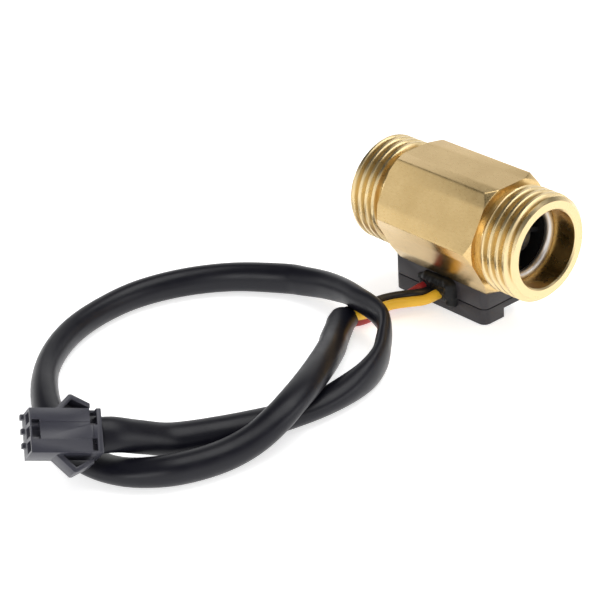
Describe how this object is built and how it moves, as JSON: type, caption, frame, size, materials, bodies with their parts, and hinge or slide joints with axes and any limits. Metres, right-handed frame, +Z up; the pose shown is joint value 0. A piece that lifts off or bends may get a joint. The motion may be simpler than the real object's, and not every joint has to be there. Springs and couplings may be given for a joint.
{
  "type": "water flow sensor",
  "caption": "Threaded brass pipe body with a hexagonal middle, a turbine cartridge inside, a sensor box below and a sleeved lead with a latching connector.",
  "frame": {"origin": "on the table, below the middle of the pipe body", "axes": "+X along the pipe towards the inlet, +Z up, the wires leave towards -Y"},
  "size_m": [0.0692, 0.1134, 0.0285],
  "materials": {
    "brass": "turned brass, bright on the threads, dull on the flats",
    "ring_wire": "dull pale grey wire",
    "cartridge_plastic": "moulded, dark",
    "rotor_plastic": "moulded, dark",
    "magnet": "sintered ferrite",
    "steel": "bright steel",
    "washer_plastic": "white low-friction plastic",
    "housing_plastic": "fine matt charcoal",
    "board": "green board with a thin lacquer",
    "chip_black": "moulded black",
    "chip_tan": "fired ceramic",
    "seal_rubber": "black sealant, slightly glossy",
    "wire_red": "soft vinyl",
    "wire_black": "soft vinyl",
    "wire_yellow": "soft vinyl",
    "sleeve_vinyl": "semi-gloss black vinyl",
    "connector_nylon": "moulded black",
    "contact_metal": "tinned brass strip"
  },
  "bodies": {
    "meter": {"brass_body": "brass", "retaining_ring": "ring_wire", "inlet_guide": "cartridge_plastic", "cartridge_sleeve": "cartridge_plastic", "rotor_shaft": "steel", "inlet_washer": "washer_plastic", "outlet_washer": "washer_plastic", "sensor_housing": "housing_plastic", "housing_cover": "housing_plastic", "circuit_board": "board", "hall_sensor": "chip_black", "chip_resistor": "chip_black", "chip_capacitor": "chip_tan", "wire_seal": "seal_rubber", "inlet_screw": "steel", "outlet_screw": "steel", "wire_red": "wire_red", "wire_black": "wire_black", "wire_yellow": "wire_yellow", "cable_sleeve": "sleeve_vinyl", "connector_housing": "connector_nylon", "contact_red": "contact_metal", "contact_black": "contact_metal", "contact_yellow": "contact_metal"},
    "turbine": {"rotor": "rotor_plastic", "magnet_ring": "magnet"}
  },
  "joints": [
    {"name": "rotor_spin", "type": "hinge", "parent": "meter", "child": "turbine", "pos_m": [0, 0, 0.018], "axis": [1, 0, 0], "continuous": true}
  ]
}
